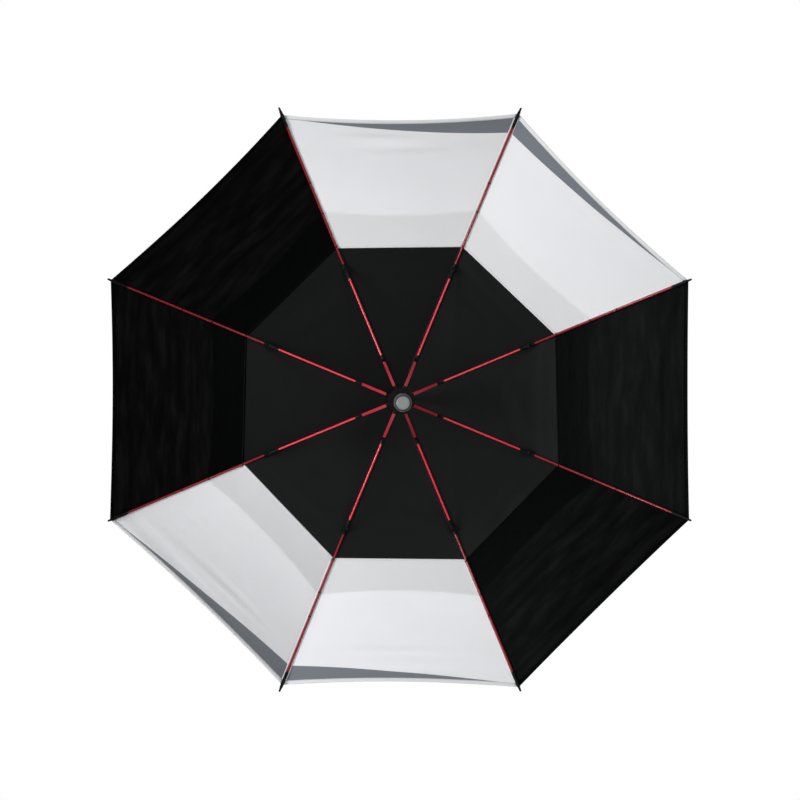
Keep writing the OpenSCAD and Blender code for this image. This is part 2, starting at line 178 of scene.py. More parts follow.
# ---------------------------------------------------------------- node trees
class Graph:
    """Builds one node tree. Any value may be a number, a tuple or another node's output."""

    def __init__(self, tree):
        self.tree = tree

    def feed(self, socket, value):
        if isinstance(value, bpy.types.NodeSocket):
            self.tree.links.new(value, socket)
            return
        if isinstance(value, tuple) and socket.type == "RGBA":
            value = (*value, 1.0)
        socket.default_value = value

    def node(self, kind, inputs=None, **settings):
        made = self.tree.nodes.new(kind)
        for key, value in settings.items():
            setattr(made, key, value)
        for key, value in (inputs or {}).items():
            self.feed(made.inputs[key], value)
        return made

    def finish(self, kind, shader):
        self.node(kind, {0: shader})

    def math(self, operation, *values, clamp=False):
        return self.node("ShaderNodeMath", dict(enumerate(values)),
                         operation=operation, use_clamp=clamp).outputs[0]

    def add(self, first, second, clamp=False):
        return self.math("ADD", first, second, clamp=clamp)

    def sub(self, first, second, clamp=False):
        return self.math("SUBTRACT", first, second, clamp=clamp)

    def mul(self, value, gain, clamp=False):
        return self.math("MULTIPLY", value, gain, clamp=clamp)

    def fit(self, value, gain, offset, clamp=False):
        """value * gain + offset"""
        return self.math("MULTIPLY_ADD", value, gain, offset, clamp=clamp)

    def rise(self, value, start, gain):
        """0 up to start, then rising to 1."""
        return self.mul(self.sub(value, start, clamp=True), gain, clamp=True)

    def wave(self, value, length):
        return self.math("SINE", self.mul(value, 2 * PI / length))

    def vector(self, operation, inputs):
        return self.node("ShaderNodeVectorMath", inputs, operation=operation).outputs["Vector"]

    def blend(self, share, first, second):
        """Vector mix."""
        kept = self.vector("SCALE", {0: first, "Scale": self.sub(1.0, share)})
        taken = self.vector("SCALE", {0: second, "Scale": share})
        return self.vector("ADD", {0: kept, 1: taken})

    def separate(self, vector):
        return self.node("ShaderNodeSeparateXYZ", {0: vector}).outputs

    def combine(self, x, y, z):
        return self.node("ShaderNodeCombineXYZ", {0: x, 1: y, 2: z}).outputs[0]

    def mix(self, share, first, second):
        """Colour mix."""
        return self.node("ShaderNodeMix", {0: share, 6: first, 7: second},
                         data_type="RGBA").outputs[2]

    def attribute(self, name):
        return self.node("ShaderNodeAttribute", attribute_name=name).outputs["Fac"]

    def coordinates(self, kind="Object"):
        return self.node("ShaderNodeTexCoord").outputs[kind]

    def stretch(self, vector, scale):
        return self.node("ShaderNodeMapping", {0: vector, "Scale": scale}).outputs[0]

    def noise(self, vector, scale, detail, roughness):
        inputs = {"Vector": vector, "Scale": scale, "Detail": detail, "Roughness": roughness}
        return self.node("ShaderNodeTexNoise", inputs).outputs["Fac"]

    def bump(self, height, strength, distance):
        inputs = {"Height": height, "Strength": strength, "Distance": distance}
        return self.node("ShaderNodeBump", inputs).outputs["Normal"]

    def shader(self, kind, inputs):
        return self.node("ShaderNode" + kind, inputs).outputs[0]

    def mix_shader(self, share, first, second):
        return self.shader("MixShader", {0: share, 1: first, 2: second})


def clean_graph(owner):
    owner.use_nodes = True
    owner.node_tree.nodes.clear()
    return Graph(owner.node_tree)


# ---------------------------------------------------------------- materials
MATERIALS = {}


def new_material(name):
    MATERIALS[name] = bpy.data.materials.new(name)
    return clean_graph(MATERIALS[name])


def finish_principled(graph, inputs):
    graph.finish("ShaderNodeOutputMaterial", graph.shader("BsdfPrincipled", inputs))


def rod_material(name, base, dark, coat, spec, rough=0.26):
    """Glass-fibre rod: fine fibre noise under a clear coat, with scuffs."""
    graph = new_material(name)
    place = graph.coordinates()
    fibre = graph.noise(place, scale=900.0, detail=3.0, roughness=0.6)
    scuffs = graph.noise(place, scale=35.0, detail=4.0, roughness=0.55)
    tone = graph.fit(scuffs, gain=0.75, offset=graph.mul(fibre, gain=0.45))
    finish_principled(graph, {
        "Base Color": graph.mix(graph.sub(tone, 0.25, clamp=True), dark, base),
        "Roughness": graph.fit(scuffs, gain=0.22, offset=rough - 0.1),
        "Specular IOR Level": spec,
        "Coat Weight": coat,
        "Coat Roughness": 0.14,
        "Normal": graph.bump(fibre, strength=0.12, distance=0.0001),
    })


def plastic_material(name, base, light, rough=0.42, grain=2200.0, bump=0.25, coat=0.0, spec=0.5):
    """Moulded plastic: fine grain, paler on its edges and in soft handling marks."""
    wear = 0.12
    graph = new_material(name)
    place = graph.coordinates()
    grain_noise = graph.noise(place, scale=grain, detail=2.0, roughness=0.5)
    marks = graph.noise(place, scale=60.0, detail=5.0, roughness=0.6)
    pointiness = graph.node("ShaderNodeNewGeometry").outputs["Pointiness"]
    edge = graph.rise(pointiness, start=0.53, gain=6.0)
    worn = graph.mul(graph.mul(edge, marks), gain=wear * 4, clamp=True)
    paler = graph.add(worn, graph.mul(marks, gain=wear), clamp=True)
    finish_principled(graph, {
        "Base Color": graph.mix(paler, base, light),
        "Roughness": graph.fit(marks, gain=0.2, offset=rough - 0.1),
        "Specular IOR Level": spec,
        "Coat Weight": coat,
        "Coat Roughness": 0.2,
        "Normal": graph.bump(grain_noise, strength=bump, distance=0.00012),
    })


def grip_material(name):
    """Soft rubber grip with a diamond knurl between smooth end bands."""
    knurls_around, knurl_pitch = 26.0, 0.0042
    knurl_bottom, knurl_top = 0.014, 0.142
    band_edge = 900.0                           # steepness of the knurl's ends
    graph = new_material(name)
    place = graph.coordinates()
    x, y, z = graph.separate(place)
    around = graph.mul(graph.math("ARCTAN2", y, x), knurls_around)
    up = graph.mul(z, 2 * PI / knurl_pitch)
    rising = graph.math("SINE", graph.add(around, up))
    falling = graph.math("SINE", graph.sub(around, up))
    knurl = graph.mul(graph.fit(rising, gain=0.5, offset=0.5),
                      graph.fit(falling, gain=0.5, offset=0.5))
    knurl = graph.math("POWER", knurl, 0.6)     # broadens the diamonds
    above = graph.mul(graph.sub(z, knurl_bottom), band_edge, clamp=True)
    below = graph.mul(graph.sub(knurl_top, z), band_edge, clamp=True)
    knurl = graph.mul(knurl, graph.mul(above, below))
    grain = graph.noise(place, scale=3000.0, detail=2.0, roughness=0.5)
    marks = graph.noise(place, scale=45.0, detail=5.0, roughness=0.6)
    tone = graph.fit(marks, gain=0.35, offset=graph.mul(knurl, gain=0.35), clamp=True)
    height = graph.fit(knurl, gain=1.0, offset=graph.mul(grain, gain=0.06))
    finish_principled(graph, {
        "Base Color": graph.mix(tone, (0.012, 0.012, 0.013), (0.045, 0.045, 0.047)),
        "Roughness": graph.fit(marks, gain=0.18, offset=0.5),
        "Sheen Weight": 0.15,
        "Normal": graph.bump(height, strength=0.8, distance=0.0007),
    })


def metal_material(name):
    base = (0.56, 0.56, 0.58)
    rough = 0.28
    graph = new_material(name)
    marks = graph.noise(graph.coordinates(), scale=700.0, detail=4.0, roughness=0.6)
    finish_principled(graph, {
        "Base Color": graph.mix(marks, tuple(c * 0.75 for c in base), base),
        "Metallic": 1.0,
        "Roughness": graph.fit(marks, gain=0.25, offset=rough - 0.1),
        "Normal": graph.bump(marks, strength=0.15, distance=0.0001),
    })


THREAD_PITCH = 0.00055          # weave
STITCH_PITCH = 0.0032
STITCH_HALF = 0.00038           # half width of a stitched line
HEM_STRIP = 0.0108              # turned hem of the lower canopy
WEDGE_START = 0.06              # share of the gore's width before the wedge begins
WEDGE_RISE = 0.0445


def stitch_row(graph, distance, place, run):
    """Dashed line where distance equals place, its stitches following run."""
    off = graph.math("ABSOLUTE", graph.sub(distance, place))
    line = graph.sub(1.0, graph.mul(off, 1 / STITCH_HALF), clamp=True)
    dash = graph.fit(graph.wave(run, STITCH_PITCH), gain=2.0, offset=1.2, clamp=True)
    return graph.mul(line, dash)


def printed_wedge(graph, colour, hem, tone, wedge):
    """Wedge just inside the hem strip, tallest at the rib that two white gores share."""
    toward = graph.attribute("gw")
    grow = graph.mul(graph.sub(toward, WEDGE_START, clamp=True), 1 / (1 - WEDGE_START))
    grow = graph.math("POWER", grow, 1.12)      # slight hollow in the wedge's long edge
    top = graph.fit(grow, gain=WEDGE_RISE, offset=HEM_STRIP)
    inside = graph.mul(graph.math("GREATER_THAN", hem, HEM_STRIP),
                       graph.math("LESS_THAN", hem, top))
    inside = graph.mul(inside, graph.math("GREATER_THAN", toward, WEDGE_START))
    return graph.mix(inside, colour, graph.mix(tone, tuple(c * 0.85 for c in wedge), wedge))


def cloth_material(name, base, deep, through, through_share, wedge=None, rough=0.62, sheen=0.25,
                   spec=0.35, crease_highlight=0.0, wrinkle=1.0, tint=(1, 1, 1)):
    """Woven cloth, reading the surface attributes that each gore stores.

    through and through_share are the colour and share of light passing through; wedge is the
    colour of a printed wedge, and crease_highlight the level of painted highlight along the
    creases.
    """
    graph = new_material(name)
    across, down, hem, vent, seam = (graph.attribute(a) for a in ("gu", "gv", "gd", "gi", "gs"))
    surface = graph.combine(across, down, 0.0)
    weave = graph.mul(graph.wave(across, THREAD_PITCH), graph.wave(down, THREAD_PITCH))
    slub = graph.noise(graph.stretch(surface, (1.0, 6.0, 1.0)),
                       scale=140.0, detail=4.0, roughness=0.6)
    cloud = graph.noise(surface, scale=7.0, detail=5.0, roughness=0.55)
    crease = graph.noise(graph.stretch(surface, (0.35, 1.6, 1.0)),
                         scale=26.0, detail=3.0, roughness=0.5)
    tone = graph.fit(slub, gain=0.35, offset=graph.mul(cloud, gain=0.65))
    tone = graph.fit(weave, gain=0.10, offset=tone, clamp=True)
    colour = graph.mix(tone, deep, base)

    # lockstitch: two rows along the outer hem, one along the inner hem, one beside each seam
    stitches = graph.add(stitch_row(graph, hem, 0.0092, across),
                         stitch_row(graph, hem, 0.0018, across))
    stitches = graph.add(stitches, stitch_row(graph, vent, 0.0042, across))
    stitches = graph.add(stitches, stitch_row(graph, seam, 0.0052, down), clamp=True)
    if wedge:
        colour = printed_wedge(graph, colour, hem, tone, wedge)
    if crease_highlight:
        # painted highlight along the creases, standing in for light catching the folds; none near
        # the hems
        pale = graph.rise(crease, start=0.53, gain=5.0)
        pale = graph.mul(pale, graph.rise(hem, start=0.02, gain=12.0))
        pale = graph.mul(pale, graph.rise(vent, start=0.11, gain=14.0))
        colour = graph.mix(pale, colour, (crease_highlight * 0.94, crease_highlight, crease_highlight * 0.97))
    # the thread is a little duller than the cloth
    colour = graph.mix(stitches, colour, tuple(min(1.0, c * 0.82 + 0.012) for c in base))

    height = graph.fit(weave, gain=0.05, offset=graph.mul(crease, gain=wrinkle))
    height = graph.fit(stitches, gain=-0.25, offset=height)
    normal = graph.bump(height, strength=0.35, distance=0.0012)
    surface_shader = graph.shader("BsdfPrincipled", {
        "Base Color": colour,
        "Roughness": graph.fit(cloud, gain=0.2, offset=rough - 0.1),
        "Sheen Weight": sheen,
        "Sheen Roughness": 0.45,
        "Specular IOR Level": spec,
        "Specular Tint": tint,
        "Normal": normal,
    })
    if crease_highlight:
        # creases also vary the light that passes through
        fold = graph.fit(graph.sub(crease, 0.5), gain=3.2, offset=0.5, clamp=True)
        through = graph.mix(fold, tuple(c * 0.55 for c in through),
                            tuple(c * 1.45 for c in through))
    passing = graph.shader("BsdfTranslucent",
                           {0: graph.mix(0.5, colour, through), "Normal": normal})
    graph.finish("ShaderNodeOutputMaterial",
                 graph.mix_shader(through_share, surface_shader, passing))


# red_rib is the rod red of red_rod made much darker: painted shade on the ribs
rod_material("red_rib", base=(0.31, 0.010, 0.022), dark=(0.20, 0.006, 0.014), coat=0.25, spec=0.3)
rod_material("red_rod", base=(0.80, 0.030, 0.050), dark=(0.60, 0.020, 0.034), coat=0.5, spec=0.5)
# red_strut's red is far darker than red_rod's: painted shade on the struts, which sit behind the
# stretchers
plastic_material("red_strut", base=(0.34, 0.014, 0.026), light=(0.52, 0.07, 0.09), rough=0.34,
                 grain=900.0, bump=0.08, coat=0.25, spec=0.30)
plastic_material("black_nylon", base=(0.0028, 0.0028, 0.0031), light=(0.016, 0.016, 0.017),
                 spec=0.10)
rod_material("black_shaft", base=(0.012, 0.012, 0.0135), dark=(0.007, 0.007, 0.008), coat=0.35,
             spec=0.3, rough=0.3)
metal_material("steel_wire")
plastic_material("core_plastic", base=(0.05, 0.05, 0.055), light=(0.11, 0.11, 0.115), rough=0.5)
grip_material("soft_grip")
plastic_material("grey_cap", base=(0.20, 0.235, 0.22), light=(0.34, 0.37, 0.36), rough=0.38,
                 coat=0.2)
plastic_material("black_gloss", base=(0.009, 0.009, 0.010), light=(0.04, 0.04, 0.042), rough=0.3,
                 bump=0.12, coat=0.2, spec=0.25)
cloth_material("white_cloth", base=(0.935, 0.942, 0.960), deep=(0.860, 0.868, 0.886),
               through=(0.92, 0.92, 0.93), through_share=0.35, wedge=(0.21, 0.235, 0.265))
cloth_material("white_seam", base=(0.985, 0.985, 0.985), deep=(0.94, 0.94, 0.945),
               through=(0.98, 0.98, 0.98), through_share=0.30, sheen=0.5)
cloth_material("black_cloth", base=(0.0008, 0.0009, 0.0008), deep=(0.0004, 0.0005, 0.0004),
               through=(0.35, 0.365, 0.34), through_share=0.24, rough=0.50, sheen=0.0,
               spec=0.046, crease_highlight=0.0030, wrinkle=3.0, tint=(0.86, 1.0, 0.96))
# black_vent_cloth is the same black cloth as black_cloth with a base several times lighter:
# painted light on the upper canopy
cloth_material("black_vent_cloth", base=(0.0051, 0.0062, 0.0057), deep=(0.0031, 0.0038, 0.0035),
               through=(0.05, 0.055, 0.05), through_share=0.10, rough=0.42, sheen=0.0, spec=0.125)
plastic_material("black_thread", base=(0.006, 0.006, 0.006), light=(0.03, 0.03, 0.03), rough=0.7,
                 grain=5000.0, spec=0.15)


# ---------------------------------------------------------------- materials on the CAD pieces
SKIN = 0.00004                  # a face this far outside a rod's radius belongs to a fitting
RIB_TIP_LENGTH = 0.0378
FLEX_CLEAR = 0.004              # round the flex joint the rib stays red
STRETCHER_ENDS = (0.009, 0.0117)        # nylon lengths at the runner and at the rib
STRUT_RED = (0.01999, 0.13401)          # red part of the strut, from its hinge


def nylon_on_rib(r, y, z):
    off_rod = np.hypot(np.hypot(r - CENTRE_R, z - CENTRE_Z) - BEND_R, y)
    arc = STRAIGHT + BEND_R * (np.arctan2(r - CENTRE_R, z - CENTRE_Z) - RIB_SLOPE)
    nylon = (off_rod > RIB_ROD + SKIN) | (arc > ARC_TIP - RIB_TIP_LENGTH)
    return nylon & ~(np.hypot(r - FLEX_R, z - FLEX_Z) < FLEX_CLEAR)


def nylon_on_stretcher(r, y, z):
    along_r, along_z = (HINGE_R - RUNNER_R) / LINK, (HINGE_Z - RUNNER_Z) / LINK
    along = (r - RUNNER_R) * along_r + (z - RUNNER_Z) * along_z
    aside = -(r - RUNNER_R) * along_z + (z - RUNNER_Z) * along_r
    start, end = STRETCHER_ENDS
    on_rod = np.hypot(aside, y) < STRETCHER_ROD + SKIN
    return ~(on_rod & (along > start) & (along < LINK - end))


def nylon_on_strut(r, y, z):
    along = (r - STRUT_R) * math.cos(STRUT_SLOPE) + (z - STRUT_Z) * math.sin(STRUT_SLOPE)
    return ~((along > STRUT_RED[0]) & (along < STRUT_RED[1]))


def set_materials(mesh, names):
    mesh.materials.clear()
    for name in names:
        mesh.materials.append(MATERIALS[name])


def paint_fittings(mesh, k, red, is_nylon):
    """Red rod with black nylon fittings; is_nylon judges face centres in the rib's own plane."""
    set_materials(mesh, [red, "black_nylon"])
    angle = rib_angle(k)
    x, y, z = np.array([face.center for face in mesh.polygons]).T
    radial = x * math.cos(angle) + y * math.sin(angle)
    sideways = -x * math.sin(angle) + y * math.cos(angle)
    nylon = is_nylon(radial, sideways, z)
    mesh.polygons.foreach_set("material_index", nylon.astype(np.int32))


# piece name's beginning: red material, test for nylon
TWO_TONE = {
    "rib_outer_": ("red_rib", nylon_on_rib),
    "stretcher_": ("red_rod", nylon_on_stretcher),
    "spring_strut_": ("red_strut", nylon_on_strut),
}
for name, piece in NODES.items():
    start = next((start for start in TWO_TONE if name.startswith(start)), None)
    if start:
        paint_fittings(piece.data, int(name.split("_")[-1]), *TWO_TONE[start])
    elif SLOT.get(name) in MATERIALS:
        set_materials(piece.data, [SLOT[name]])


# ---------------------------------------------------------------- canopy folding
# Attributes each gore stores at its vertices:
#   pa, pb  points on the ribs at t = 0 and t = 1     dd    offset from the line between them
#   gt      t, the share of the way across            gwid  width between the ribs
#   we      0 on the inner rib, 1 on its flexing end  wr    0 at the crown, 1 clear of it
#   gh      lift off the sheet                        go    extra radius when closed
#   gu, gv  distance across and down the gore         gd    distance from the outer hem
#   gi      distance from the inner hem               gs    distance from the nearest seam
#   gw      share of the way to the rib that two white gores share
def fold_group():
    """Node group that moves a gore with its two ribs, then wraps it round the closed ribs."""
    tree = bpy.data.node_groups.new("gore_fold", "GeometryNodeTree")

    def socket(name, kind, in_out="INPUT"):
        tree.interface.new_socket(name, in_out=in_out, socket_type="NodeSocket" + kind)

    socket("Geometry", "Geometry")
    for name in ("RibA", "RibB", "EndA", "EndB", "Runner"):
        socket(name, "Object")
    socket("Phi", "Float")
    socket("Geometry", "Geometry", in_out="OUTPUT")

    graph = Graph(tree)
    add, sub, mul, fit, calc = graph.add, graph.sub, graph.mul, graph.fit, graph.math
    given = graph.node("NodeGroupInput").outputs

    def stored(name, kind="FLOAT"):
        return graph.node("GeometryNodeInputNamedAttribute", {"Name": name},
                          data_type=kind).outputs["Attribute"]

    def body(name):
        return graph.node("GeometryNodeObjectInfo", {"Object": given[name]},
                          transform_space="ORIGINAL").outputs

    def moved(point, carrier):
        return graph.node("FunctionNodeTransformPoint",
                          {0: point, 1: carrier["Transform"]}).outputs[0]

    rest_a, rest_b, offset = (stored(name, "FLOAT_VECTOR") for name in ("pa", "pb", "dd"))
    t, on_end, off_crown, width, lift, outer = (
        stored(name) for name in ("gt", "we", "wr", "gwid", "gh", "go"))
    rib_a, rib_b, end_a, end_b, runner = (
        body(name) for name in ("RibA", "RibB", "EndA", "EndB", "Runner"))

    edge_a = graph.blend(on_end, moved(rest_a, rib_a), moved(rest_a, end_a))
    edge_a = graph.blend(off_crown, rest_a, edge_a)
    edge_b = graph.blend(on_end, moved(rest_b, rib_b), moved(rest_b, end_b))
    edge_b = graph.blend(off_crown, rest_b, edge_b)
    closed = mul(graph.separate(runner["Location"])[2], -1.0 / TRAVEL, clamp=True)
    x, y, z = graph.separate(edge_a)
    radius = calc("SQRT", add(mul(x, x), mul(y, y)))
    radius = calc("MAXIMUM", radius, 0.004)

    # taut or slack sheet between the two ribs, bellying outwards as it loosens
    across = graph.vector("SUBTRACT", {0: edge_b, 1: edge_a})
    gap = graph.node("ShaderNodeVectorMath", {0: across}, operation="LENGTH").outputs["Value"]
    slack = calc("MAXIMUM", sub(mul(width, width), mul(gap, gap)), 0.0)
    slack = mul(calc("SQRT", slack), gain=0.42)
    belly = mul(mul(t, sub(1.0, t)), gain=4.0)
    middle = add(given["Phi"], STEP / 2)
    outward = graph.combine(calc("COSINE", middle), calc("SINE", middle), -0.35)
    loosening = mul(closed, gain=3.0, clamp=True)
    # wrapping starts at 0.6 of the way closed and eases in and out
    wrapping = mul(sub(closed, 0.6), gain=2.5, clamp=True)
    wrapping = mul(mul(wrapping, wrapping), fit(wrapping, gain=-2.0, offset=3.0))
    loosening = mul(loosening, sub(1.0, wrapping))
    line = graph.blend(t, edge_a, edge_b)
    kept_offset = graph.vector("SCALE", {0: offset, "Scale": sub(1.0, closed)})
    sheet = graph.vector("ADD", {0: line, 1: kept_offset})
    bulge = mul(mul(slack, belly), mul(loosening, gain=0.8))
    bulge = graph.vector("SCALE", {0: outward, "Scale": bulge})
    sheet = graph.vector("ADD", {0: sheet, 1: bulge})

    # wrapped pleat: out over the next ribs, then back under itself; angles in radians
    wide = calc("MAXIMUM", calc("DIVIDE", width, radius), STEP)
    turn = mul(add(wide, STEP), gain=0.5)
    rounding = mul(mul(sub(wide, STEP), gain=1.0, clamp=True), gain=0.12)
    rounding = calc("MAXIMUM", rounding, 0.001)
    past = sub(mul(t, wide), turn)
    bend = calc("SQRT", add(mul(past, past), mul(rounding, rounding)))
    around = sub(turn, bend)
    layer = fit(calc("DIVIDE", past, bend), gain=-0.5, offset=0.5)      # 1 outer, 0 inner
    wrap_r = fit(around, gain=0.00180, offset=radius)
    wrap_r = fit(layer, gain=0.00065, offset=wrap_r)
    wrap_r = fit(mul(lift, gain=0.15), fit(layer, gain=2.0, offset=-1.0), wrap_r)
    wrap_r = add(wrap_r, outer)
    angle = add(given["Phi"], around)
    # soft rucks in two waves, left out close to the shaft
    rucks = mul(calc("SINE", add(mul(angle, 5.0), mul(z, 31.0))), gain=0.0012)
    fine_wave = calc("SINE", add(mul(angle, 11.0), mul(z, -47.0)))
    rucks = fit(fine_wave, gain=0.0006, offset=rucks)
    off_shaft = mul(sub(radius, 0.022), gain=60.0, clamp=True)
    wrap_r = fit(add(rucks, 0.0018), off_shaft, wrap_r)
    wrap = graph.combine(mul(wrap_r, calc("COSINE", angle)), mul(wrap_r, calc("SINE", angle)), z)
    folded = graph.blend(mul(wrapping, off_crown), sheet, wrap)

    # at rest the mesh keeps its own place exactly
    resting = graph.node("GeometryNodeInputPosition").outputs[0]
    folded = graph.blend(calc("GREATER_THAN", closed, 1e-5), resting, folded)
    placed = graph.node("GeometryNodeSetPosition",
                        {"Geometry": given["Geometry"], "Position": folded})
    graph.node("NodeGroupOutput", {0: placed.outputs[0]})
    return tree


FOLD_GROUP = fold_group()


# ---------------------------------------------------------------- canopy gores
WHITE = (2, 3, 6, 7)
CLOTH = 0.0003                  # sheet thickness
# how far each gore's outer hem is drawn in at its middle, along the rib
HEM_CURVE = {1: 0.0138, 2: 0.0194, 3: 0.0158, 4: 0.0060,
             5: 0.0073, 6: 0.0140, 7: 0.0108, 8: 0.0082}
FLAP_CURVE = 0.0135             # the same for the upper canopy
# how far each rib pulls its corner of the outer hem towards its tip
HEM_OUT = {1: 0.0112, 2: -0.0016, 3: 0.0032, 4: 0.0112,
           5: 0.0144, 6: 0.0080, 7: 0.0, 8: 0.0144}
# how far the two hems round the vent lie down each rib, further towards -X and -Y
VENT_OUT = {k: 0.0106067 - 0.00496704 * math.cos(rib_angle(k))
            - 0.0113828 * math.sin(rib_angle(k)) for k in range(1, RIBS + 1)}

HEM_LIFT = -0.00042             # turned hems lie under the sheet
HEM_GAP = 0.0003                # and stop short of its edge
VENT_STRIP = 0.0056
FLAP_STRIP = 0.0095
SHEET_ROWS = 46
SEAM_ROWS = 30
# seam allowances: distance from the rib's centre line, lift off the sheet
LOWER_SEAM = ((0.0028, -0.0005), (0.0048, -0.00075), (0.0068, -0.00045))
UPPER_SEAM = ((0.0026, -0.0005), (0.0044, -0.0007), (0.0062, -0.00045))
SEAM_MARGIN = 0.006             # lower seams start this far from the inner hem
UPPER_SEAM_START = 0.05


def across_stations():
    """Values of t, closer near both ribs and just past the middle, where pleats turn back."""
    count = 44
    even_share = 0.65
    stations = []
    for i in range(count + 1):
        eased = 0.5 - 0.5 * math.cos(PI * i / count)
        stations.append((1 - even_share) * eased + even_share * i / count)
    stations = [t for t in stations if t < 0.495 or t > 0.614]
    stations += [0.498 + 0.0045 * i for i in range(26)]
    return sorted(stations)


STATIONS = across_stations()


def between_ribs(table, j, t):
    return table[j] + (table[j % RIBS + 1] - table[j]) * t


def put_object(name, mesh):
    made = bpy.data.objects.new(name, mesh)
    bpy.context.scene.collection.objects.link(made)
    return made


def shade_smooth(mesh):
    mesh.polygons.foreach_set("use_smooth", [True] * len(mesh.polygons))


class Gore:
    """Grid patches of one gore. t runs across from rib j to rib j + 1, arc down the ribs."""

    def __init__(self, j, lower, seed):
        self.j, self.lower = j, lower
        self.points, self.faces, self.slots = [], [], []
        self.attributes = {}
        rnd = random.Random(seed)
        # tension ripples: a few soft folds, and faint ones close to the outer hem
        down_range = (0.72, 0.95) if lower else (0.5, 0.9)
        self.ripples = [dict(
            across=rnd.uniform(0.3, 0.7),
            down=rnd.uniform(*down_range),
            width=rnd.uniform(0.16, 0.3),
            depth=rnd.uniform(0.020, 0.045),
            height=rnd.uniform(0.0008, 0.0019) * rnd.choice((1, 1, -1)),
            tilt=rnd.uniform(-0.06, 0.06),
        ) for _ in range(5 if lower else 3)]
        self.faint = [dict(
            phase=rnd.uniform(0, 1),
            count=rnd.uniform(3, 6),
            height=rnd.uniform(0.0003, 0.0008),
        ) for _ in range(2)]

    def inner(self, t):
        """Arc of the inner edge."""
        return ARC_VENT + between_ribs(VENT_OUT, self.j, t) if self.lower else -0.0015

    def outer(self, t):
        """Arc of the outer edge."""
        bow = 4 * t * (1 - t)
        if self.lower:
            return ARC_HEM + between_ribs(HEM_OUT, self.j, t) - HEM_CURVE[self.j] * bow
        return ARC_FLAP + between_ribs(VENT_OUT, self.j, t) - FLAP_CURVE * bow

    def rib_lift(self, arc):
        """Height of the sheet above the rib's centre line."""
        if self.lower:
            # the corners of the hem sit on the back of the tips
            return (0.0034 + 0.0011 * smooth(ARC_TIP - 0.075, ARC_TIP - 0.045, arc)
                    + 0.0014 * smooth(ARC_HEM - 0.010, ARC_HEM - 0.001, arc))
        over_flex = (smooth(STRAIGHT - 0.075, STRAIGHT - 0.05, arc)
                     * (1 - smooth(STRAIGHT + 0.002, STRAIGHT + 0.02, arc)))
        return 0.0047 + 0.0008 * over_flex + 0.0030 * (1 - smooth(0.0, 0.03, arc))

    def ripple(self, t, down, arc):
        total = 0.0
        for fold in self.ripples:
            off = down - fold["down"] - fold["tilt"] * (t - fold["across"])
            total += (fold["height"] * math.exp(-((t - fold["across"]) / fold["width"]) ** 2)
                      * math.exp(-(off / fold["depth"]) ** 2)
                      * math.cos(off / fold["depth"] * 1.6))
        for fold in self.faint:
            wave = math.sin(2 * PI * (fold["count"] * down + fold["phase"] + 0.6 * t))
            total += fold["height"] * wave * math.exp(-((down - 0.93) / 0.18) ** 2)
        total *= 4 * t * (1 - t)
        if not self.lower:
            total *= smooth(0.25, 0.6, down)
            if total < 0:
                # no hollows where it lies over the lower canopy
                total *= 1 - smooth(ARC_VENT - 0.06, ARC_VENT - 0.015, arc)
        return total

    def add(self, t, arc, lift):
        angle_a = rib_angle(self.j)
        angle_b = angle_a + STEP
        radius, z = profile(arc, self.rib_lift(arc))
        on_a, on_b = polar(radius, angle_a, z), polar(radius, angle_b, z)
        base = on_a.lerp(on_b, t)
        inner, outer = self.inner(t), self.outer(t)
        down = (arc - inner) / (outer - inner)
        bow = 4 * t * (1 - t)
        dip = (0.0012 + 0.0088 * down ** 1.3) * bow if self.lower else 0.0016 * bow * down
        slope = slope_at(arc)
        normal = polar(math.sin(slope), (angle_a + angle_b) / 2, math.cos(slope))
        point = base - Vector((0, 0, dip)) + normal * (self.ripple(t, down, arc) + lift)
        self.points.append(point)
        width = chord(radius)
        hem = outer - arc
        over_vent = smooth(ARC_VENT - 0.08, ARC_VENT - 0.01, arc)
        values = {
            "pa": on_a,
            "pb": on_b,
            "dd": point - base,
            "gt": t,
            "we": smooth(STRAIGHT - 0.006, STRAIGHT + 0.006, arc),
            "wr": smooth(0.006, 0.034, arc),
            "gwid": width,
            "gh": lift,
            "go": 0.0 if self.lower else 0.0026 * over_vent,
            "gu": (t - 0.5) * width + 0.013 * self.j,
            "gv": arc,
            "gd": hem if hem > -0.001 else 0.0,
            "gi": arc - inner if self.lower else 1.0,
            "gs": min(t, 1 - t) * width,
            "gw": t if self.j in (2, 6) else 1 - t,
        }
        for name, value in values.items():
            self.attributes.setdefault(name, []).append(value)
        return len(self.points) - 1

    def join(self, rows, slot, flip=False):
        for upper_row, lower_row in zip(rows, rows[1:]):
            for q in range(len(upper_row) - 1):
                face = (upper_row[q], lower_row[q], lower_row[q + 1], upper_row[q + 1])
                self.faces.append(face[::-1] if flip else face)
                self.slots.append(slot)

    def patch(self, first, last, count, lift=0.0):
        """Full-width grid between two arcs given as functions of t."""
        rows = []
        for i in range(count + 1):
            u = i / count
            rows.append([self.add(t, first(t) + (last(t) - first(t)) * u, lift)
                         for t in STATIONS])
        self.join(rows, 0)

    def hem(self, strip):
        """Turned hem under the outer edge."""
        self.patch(lambda t: self.outer(t) - strip, lambda t: self.outer(t) - HEM_GAP, 3, HEM_LIFT)

    def seams(self, first, last, section, slot):
        """Seam allowances beside both ribs."""
        for side in (0, 1):
            start, end = first(side), last(side)
            rows = []
            for i in range(SEAM_ROWS + 1):
                arc = start + (end - start) * i / SEAM_ROWS
                width = chord(profile(arc)[0])
                rows.append([self.add(abs(side - distance / width), arc, lift)
                             for distance, lift in section])
            self.join(rows, slot, flip=side == 1)

